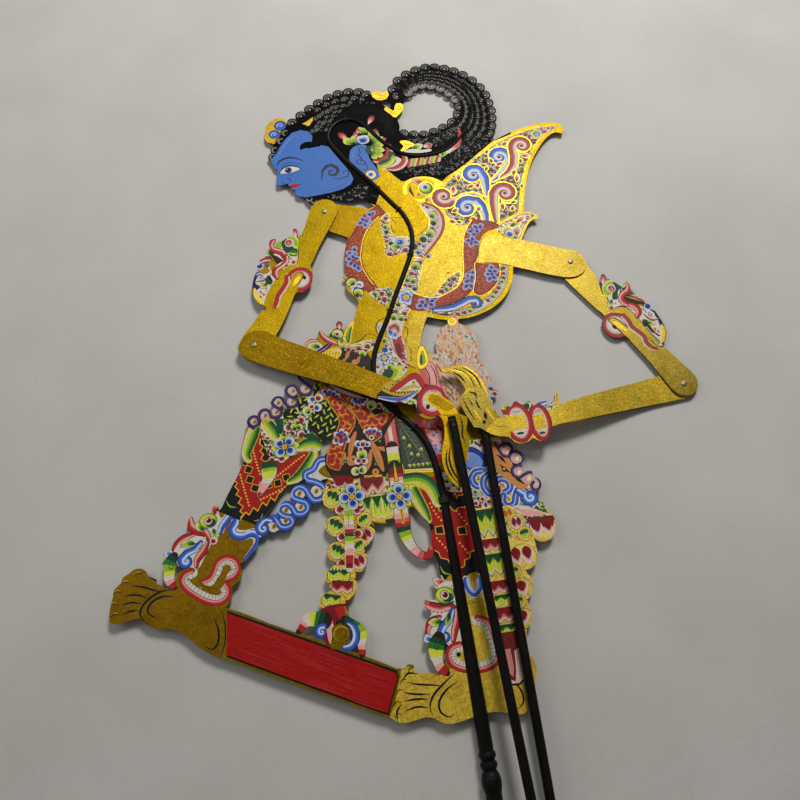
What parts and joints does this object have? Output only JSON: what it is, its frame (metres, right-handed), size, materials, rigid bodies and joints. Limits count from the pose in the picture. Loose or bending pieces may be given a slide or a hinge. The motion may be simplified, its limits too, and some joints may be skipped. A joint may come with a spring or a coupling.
{
  "type": "hide shadow puppet",
  "caption": "Flat painted hide shadow puppet with hinged shoulders and elbows, a split main rod clamped along the figure, and a hand rod tied to each hand.",
  "frame": {"origin": "on the main rod's axis at the top of its straight grip, in the middle of the hide's thickness", "axes": "+Z is the front face of the hide, -Y runs down the main rod's grip, +Y runs to the head, +X is to the right of the front view"},
  "size_m": [0.4694, 0.762, 0.0262],
  "materials": {
    "hide": "gilded and painted, semi gloss",
    "horn": "black lacquer, satin",
    "stem": "turned, black lacquer, satin",
    "thread": "waxed thread",
    "rivet": "dull, hammered"
  },
  "bodies": {
    "figure": {"body_hide": "hide", "gapit_front": "horn", "gapit_back": "horn", "gapit_ties": "thread", "main_stem": "stem", "stem_whipping": "thread", "left_shoulder_rivet": "rivet", "left_shoulder_washer": "rivet", "right_shoulder_rivet": "rivet", "right_shoulder_washer": "rivet"},
    "left_upper": {"left_upper_arm": "hide", "left_elbow_rivet": "rivet", "left_elbow_washer": "rivet"},
    "left_lower": {"left_forearm": "hide", "left_rod_tie": "thread"},
    "left_rod": {"left_hand_rod": "horn", "left_rod_whipping": "thread"},
    "right_upper": {"right_upper_arm": "hide", "right_elbow_rivet": "rivet", "right_elbow_washer": "rivet"},
    "right_lower": {"right_forearm": "hide", "right_rod_tie": "thread"},
    "right_rod": {"right_hand_rod": "horn", "right_rod_whipping": "thread"}
  },
  "joints": [
    {"name": "left_shoulder", "type": "hinge", "parent": "figure", "child": "left_upper", "pos_m": [-0.063, 0.462, 0.0018], "axis": [0, 0, 1], "range_deg": [-100, 10]},
    {"name": "left_elbow", "type": "hinge", "parent": "left_upper", "child": "left_lower", "pos_m": [-0.133, 0.34, 0.0036], "axis": [0, 0, 1], "range_deg": [-80, 40]},
    {"name": "left_rod_swivel", "type": "hinge", "parent": "left_lower", "child": "left_rod", "pos_m": [0.015, 0.245, 0.0152], "axis": [0, 0, 1], "range_deg": [-60, 60]},
    {"name": "right_shoulder", "type": "hinge", "parent": "figure", "child": "right_upper", "pos_m": [0.143, 0.3814, -0.0015], "axis": [0, 0, 1], "range_deg": [0, 100]},
    {"name": "right_elbow", "type": "hinge", "parent": "right_upper", "child": "right_lower", "pos_m": [0.208, 0.2583, -0.003], "axis": [0, 0, 1], "range_deg": [0, 80]},
    {"name": "right_rod_swivel", "type": "hinge", "parent": "right_lower", "child": "right_rod", "pos_m": [0.04, 0.247, 0.0042], "axis": [0, 0, 1], "range_deg": [0, 60]}
  ]
}
